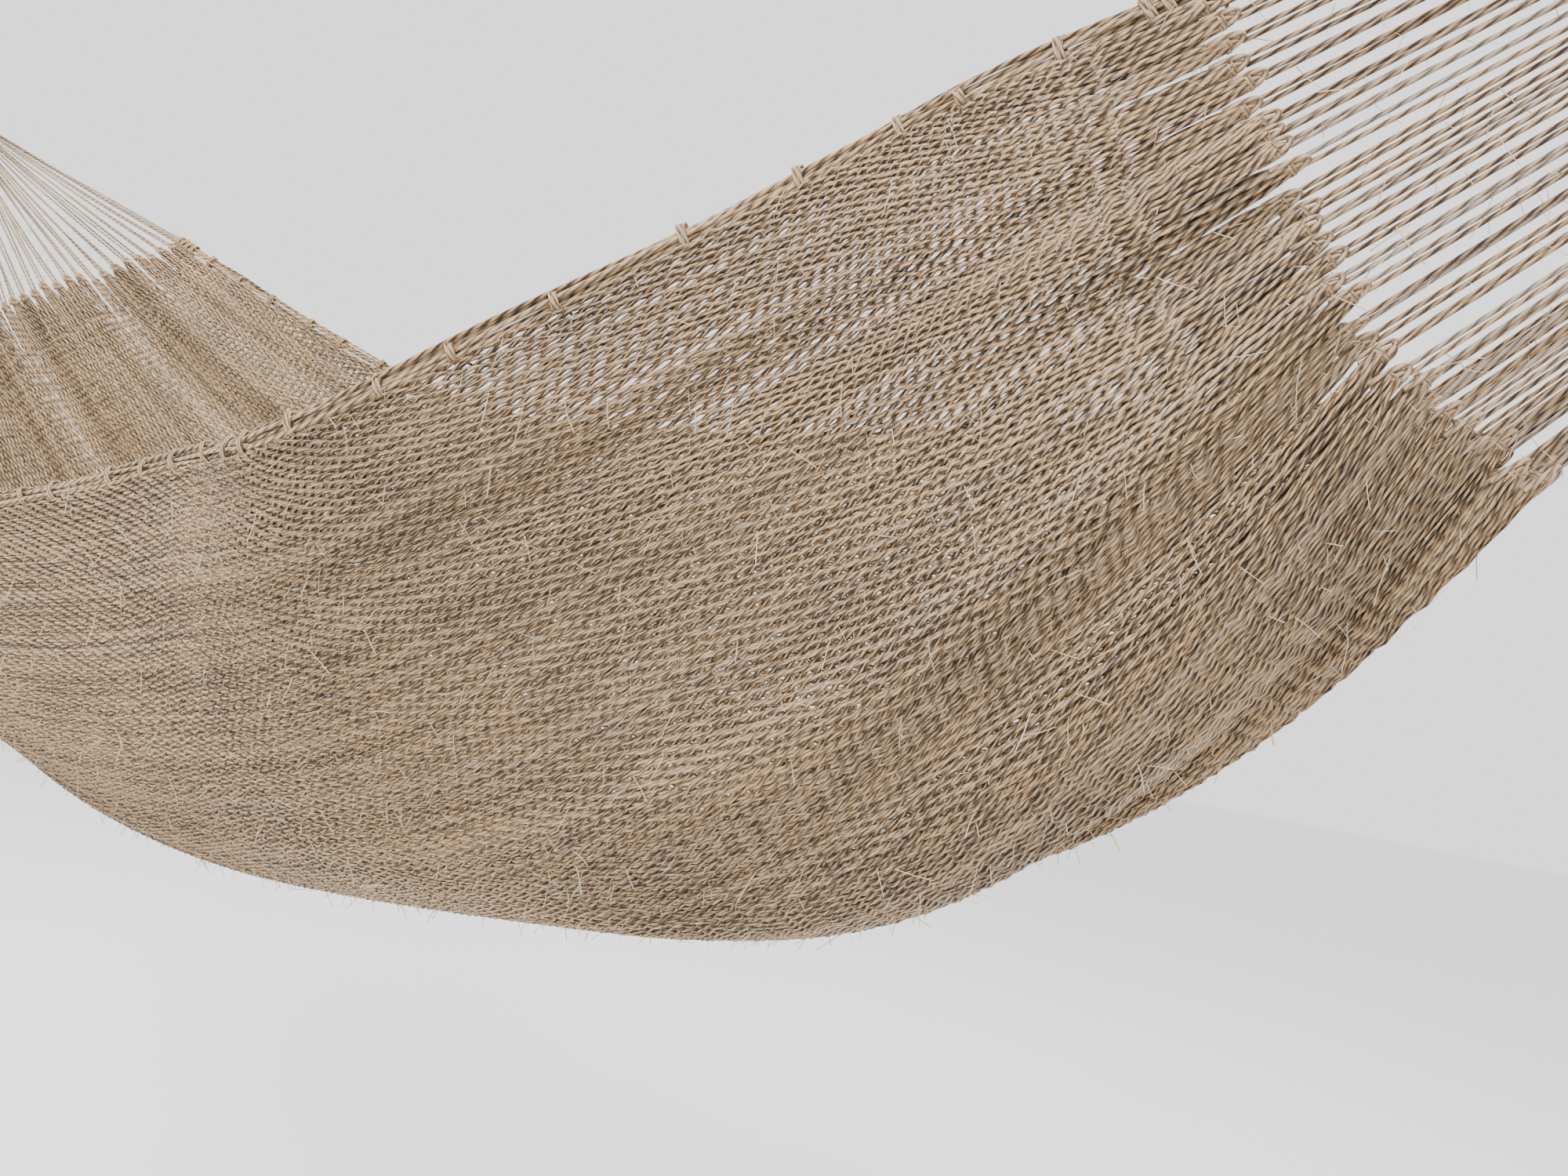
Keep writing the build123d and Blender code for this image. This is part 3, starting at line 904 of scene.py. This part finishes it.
class HAMMOCK_OT_edges(bpy.types.Operator):
    """Make the edge bundles of parallel cords"""

    bl_idname = "hammock.edges"
    bl_label = "Edge Bundles"

    def execute(self, context):
        size = sizes()
        for number, (side, t) in enumerate((("front", 0.0), ("rear", 1.0))):
            rng = np.random.default_rng(51 + number)
            route = edge_route(t)
            lines = []
            for k in range(size.edge_cords):
                home = (k / (size.edge_cords - 1) - 0.5) * 2 * EDGE_WIDE
                phase = rng.uniform(0, math.tau, 3)
                points = []
                for i, (point, way, outward, normal) in enumerate(route):
                    u = i / EDGE_STEPS
                    out = home + 0.0013 * math.sin(23 * u + phase[0])
                    out += 0.0008 * math.sin(61 * u + phase[1])
                    deep = 0.0022 * math.sin(29 * u + phase[2]) + (0.0012 if k % 2 else -0.0012)
                    points.append(point + outward * out + normal * deep)
                lines.append(points)
            made = tubes(f"{side}_edge", lines, EDGE_CORD_R, 6, MATERIALS["edge"], seed=61 + number)
            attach(made, "sling")
            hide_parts(f"{side}_edge_bundle")
        return {"FINISHED"}


# Turns that bind each corner, as shares of the edge's length.
CORNER_TURNS = [0.0, 0.007, 0.014]


def hitch_piece(material):
    """Hitch round an edge bundle: turns of cord, drawn in where it is knotted."""
    turns, steps = 3, 13
    points = []
    for i in range(turns * steps + 1):
        a = math.tau * i / steps
        out, deep = 0.0090 * math.cos(a), 0.0046 * math.sin(a)
        points.append(((i / (turns * steps) - 0.5) * 0.0065, out, deep))
    knot = []
    for i in range(15):
        a = math.tau * i / 9
        knot.append((-0.005 + 0.0105 * i / 14, -0.0085 + 0.0016 * math.cos(a),
                     -0.003 + 0.0018 * math.sin(a)))
    tail = [(0.004, -0.0085, -0.003), (0.007, -0.0095, -0.006), (0.009, -0.0085, -0.011),
            (0.008, -0.008, -0.015)]
    return tubes("hitch_piece", [points, knot, tail], HITCH_CORD_R, 5, material, seed=5)


class HAMMOCK_OT_hitches(bpy.types.Operator):
    """Tie the hitches along both edges"""

    bl_idname = "hammock.hitches"
    bl_label = "Edge Hitches"

    def execute(self, context):
        size = sizes()
        piece = hitch_piece(MATERIALS["edge"])
        for number, (side, t) in enumerate((("front", 0.0), ("rear", 1.0))):
            rng = np.random.default_rng(71 + number)
            route = edge_route(t)
            places, ways, sides = [], [], []
            shares = [(k + 0.5 + rng.uniform(-0.22, 0.22)) / size.hitches for k in range(size.hitches)]
            for share in sorted(shares + CORNER_TURNS + [1 - turn for turn in CORNER_TURNS]):
                point, way, outward, normal = route[int(share * EDGE_STEPS)]
                lean = rng.uniform(-0.5, 0.5)
                places.append(point)
                ways.append((way + outward * rng.uniform(-0.25, 0.25)).normalized())
                sides.append(normal * math.cos(lean) + outward * math.sin(lean))
            made = repeated(f"{side}_hitches", piece, places, ways, sides, MATERIALS["edge"])
            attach(made, "sling")
            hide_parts(f"{side}_edge_hitches")
        drop(piece)
        return {"FINISHED"}


# ---- eyes and necks ---------------------------------------------------------------------
WRAP_STEPS = 14


def eye_winding(centre, layer):
    """Cord wound closely round the ring of an eye; layer 1 lies under layer 0 and fills its gaps."""
    middle_r = EYE_HOLE_R + EYE_DEPTH / 2
    deep, wide = EYE_DEPTH / 2 - WRAP_R * (1 + layer), EYE_WIDTH / 2 - WRAP_R * (1 + layer)
    turns = int(math.tau * EYE_HOLE_R / (1.75 * WRAP_R))
    points = []
    for i in range(turns * WRAP_STEPS + 1):
        a = math.tau * i / WRAP_STEPS
        ring = a / turns
        c, s = math.cos(a + math.pi * layer), math.sin(a + math.pi * layer)
        r = middle_r + deep * math.copysign(abs(c) ** 0.7, c)
        y = wide * math.copysign(abs(s) ** 0.7, s)
        points.append(centre + Vector((r * math.cos(ring), y, r * math.sin(ring))))
    return points


def neck_winding(eye, knot):
    """Cord wound round the neck from the eye, and over the round knot to its far end."""
    way = (knot - eye).normalized()
    up = way.cross(Vector((0, 1, 0))).normalized()
    side = Vector((0, 1, 0))
    start = EYE_HOLE_R + EYE_DEPTH - 0.004
    stop = (knot - eye).length + KNOT_R
    pitch = 1.8 * WRAP_R
    turns = int((stop - start) / pitch) + 6
    points = []
    for i in range(turns * WRAP_STEPS + 1):
        a = math.tau * i / WRAP_STEPS
        x = start + (stop - start) * i / (turns * WRAP_STEPS)
        inside = (KNOT_R - WRAP_R) ** 2 - (x - (knot - eye).length) ** 2
        r = max(math.sqrt(max(inside, 0)), SLEEVE_R - WRAP_R if x < (knot - eye).length else 0.001)
        points.append(eye + way * x + side * (r * math.cos(a)) + up * (r * math.sin(a)))
    return points


class HAMMOCK_OT_eyes(bpy.types.Operator):
    """Wind the eyes and the necks with cord"""

    bl_idname = "hammock.eyes"
    bl_label = "Eyes and Necks"

    def execute(self, context):
        for number, end_name in enumerate(EYES):
            layers = [eye_winding(EYES[end_name], 0), eye_winding(EYES[end_name], 1)]
            eye = tubes(f"{end_name}_eye_winding", layers, WRAP_R, 6, MATERIALS["eye"],
                        seed=81 + number)
            neck = tubes(f"{end_name}_neck_winding", [neck_winding(EYES[end_name], KNOTS[end_name])],
                         WRAP_R, 6, MATERIALS["eye"], seed=83 + number)
            for piece, node in ((eye, f"{end_name}_eye"), (neck, f"{end_name}_neck_binding")):
                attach(piece, "eyes")
                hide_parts(node)
        return {"FINISHED"}


# ---- stray fibres -------------------------------------------------------------------------
# How far the net's fibres stand off its middle surface, and the arms' fibres for a square metre of
# string, none of them within this reach of a knot.
FIBRE_LIFT = 0.0075
ARM_FIBRES = 1700.0
KNOT_REACH = 0.07


class HAMMOCK_OT_fibres(bpy.types.Operator):
    """Scatter the single fibres that stand off the cords"""

    bl_idname = "hammock.fibres"
    bl_label = "Stray Fibres"

    def execute(self, context):
        line = [(-0.010, 0, 0), (0, 0.0026, 0.0004), (0.010, 0.0072, 0.001)]
        piece = tubes("fibre_piece", [line], FIBRE_R, 3, MATERIALS["stray"])
        chart = drape_object()
        made = grown(chart, TREES["fibre"], {
            "Piece": piece, "Density": sizes().fibres, "Seed": 9, "Lift": FIBRE_LIFT,
            "Material": MATERIALS["stray"]}, "net_fibres")
        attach(made, "sling")
        for number, end_name in enumerate(EYES):
            made = grown(MADE[f"{end_name}_arms"], TREES["fibre"], {
                "Piece": piece, "Density": ARM_FIBRES, "Seed": 12 + number, "Lift": 0.0,
                "Clear Of": KNOTS[end_name], "Clearance": KNOT_REACH,
                "Material": MATERIALS["stray"]}, f"{end_name}_arm_fibres")
            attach(made, "sling")
        drop(chart, piece)
        return {"FINISHED"}


# ---- stage ---------------------------------------------------------------------------------
CAMERA_AT = Vector((2.615, -0.7581, -0.8511))
CAMERA_RIGHT = Vector((0.829, 0.5307, 0.1755))
CAMERA_AHEAD = Vector((-0.5505, 0.8297, 0.0916))
LENS_MM = 26.0
FLOOR_Z = -1.75
FLOOR_HALF = 30.0
ROOM_LIGHT = 1.7
LIT_PLACE = Vector((1.6, 0.0, -0.8))


class HAMMOCK_OT_stage(bpy.types.Operator):
    """Set the floor, the soft lights and the camera"""

    bl_idname = "hammock.stage"
    bl_label = "Stage"

    def execute(self, context):
        scene = context.scene
        half = FLOOR_HALF
        floor = scratch("floor", [(-half, -half, FLOOR_Z), (half, -half, FLOOR_Z),
                                  (half, half, FLOOR_Z), (-half, half, FLOOR_Z)], (), [(0, 1, 2, 3)])
        floor.data.materials.append(MATERIALS["floor"])
        world = bpy.data.worlds.new("pale_room")
        world.use_nodes = True
        background = world.node_tree.nodes["Background"]
        background.inputs["Color"].default_value = (1.0, 1.0, 1.0, 1)
        background.inputs["Strength"].default_value = ROOM_LIGHT
        scene.world = world
        for name, place, power, width in (
                ("key", Vector((2.2, -2.6, 1.9)), 190.0, 1.8),
                ("top", Vector((1.2, 0.6, 2.2)), 110.0, 2.2),
                ("fill", Vector((-1.6, -2.2, -0.2)), 18.0, 2.0)):
            data = bpy.data.lights.new(name, "AREA")
            data.energy = power
            data.size = width
            lamp = bpy.data.objects.new(name, data)
            lamp.location = place
            lamp.rotation_euler = (LIT_PLACE - place).to_track_quat("-Z", "Y").to_euler()
            scene.collection.objects.link(lamp)
        lens = bpy.data.cameras.new("view")
        lens.lens = LENS_MM
        lens.sensor_width = 36.0
        lens.clip_start = 0.01
        camera = bpy.data.objects.new("view", lens)
        ahead = CAMERA_AHEAD.normalized()
        right = (CAMERA_RIGHT - ahead * CAMERA_RIGHT.dot(ahead)).normalized()
        up = right.cross(ahead)
        turn = Matrix((right, up, -ahead)).transposed()
        camera.matrix_world = Matrix.Translation(CAMERA_AT) @ turn.to_4x4()
        scene.collection.objects.link(camera)
        scene.camera = camera
        return {"FINISHED"}


class HAMMOCK_PT_panel(bpy.types.Panel):
    """Sizes, colours and pieces of the hammock"""

    bl_label = "Hammock"
    bl_idname = "HAMMOCK_PT_panel"
    bl_space_type = "VIEW_3D"
    bl_region_type = "UI"
    bl_category = "Hammock"

    def draw(self, context):
        layout = self.layout
        for group in (context.scene.hammock_sizes, context.scene.hammock_colours):
            box = layout.box()
            for name in group.__annotations__:
                box.prop(group, name)
        for operator in OPERATORS:
            layout.operator(operator.bl_idname)


OPERATORS = (HAMMOCK_OT_materials, HAMMOCK_OT_stage, HAMMOCK_OT_net, HAMMOCK_OT_loops, HAMMOCK_OT_arms,
             HAMMOCK_OT_edges, HAMMOCK_OT_hitches, HAMMOCK_OT_eyes, HAMMOCK_OT_fibres)
CLASSES = (HammockSizes, HammockColours, *OPERATORS, HAMMOCK_PT_panel)


def register():
    for item in CLASSES:
        bpy.utils.register_class(item)
    bpy.types.Scene.hammock_sizes = bpy.props.PointerProperty(type=HammockSizes)
    bpy.types.Scene.hammock_colours = bpy.props.PointerProperty(type=HammockColours)


def unregister():
    del bpy.types.Scene.hammock_colours
    del bpy.types.Scene.hammock_sizes
    for item in reversed(CLASSES):
        bpy.utils.unregister_class(item)


def main():
    register()
    bpy.ops.hammock.materials()
    bpy.ops.hammock.stage()
    bpy.ops.hammock.net()
    bpy.ops.hammock.loops()
    bpy.ops.hammock.arms()
    bpy.ops.hammock.edges()
    bpy.ops.hammock.hitches()
    bpy.ops.hammock.eyes()
    bpy.ops.hammock.fibres()


if __name__ == "__main__":
    main()
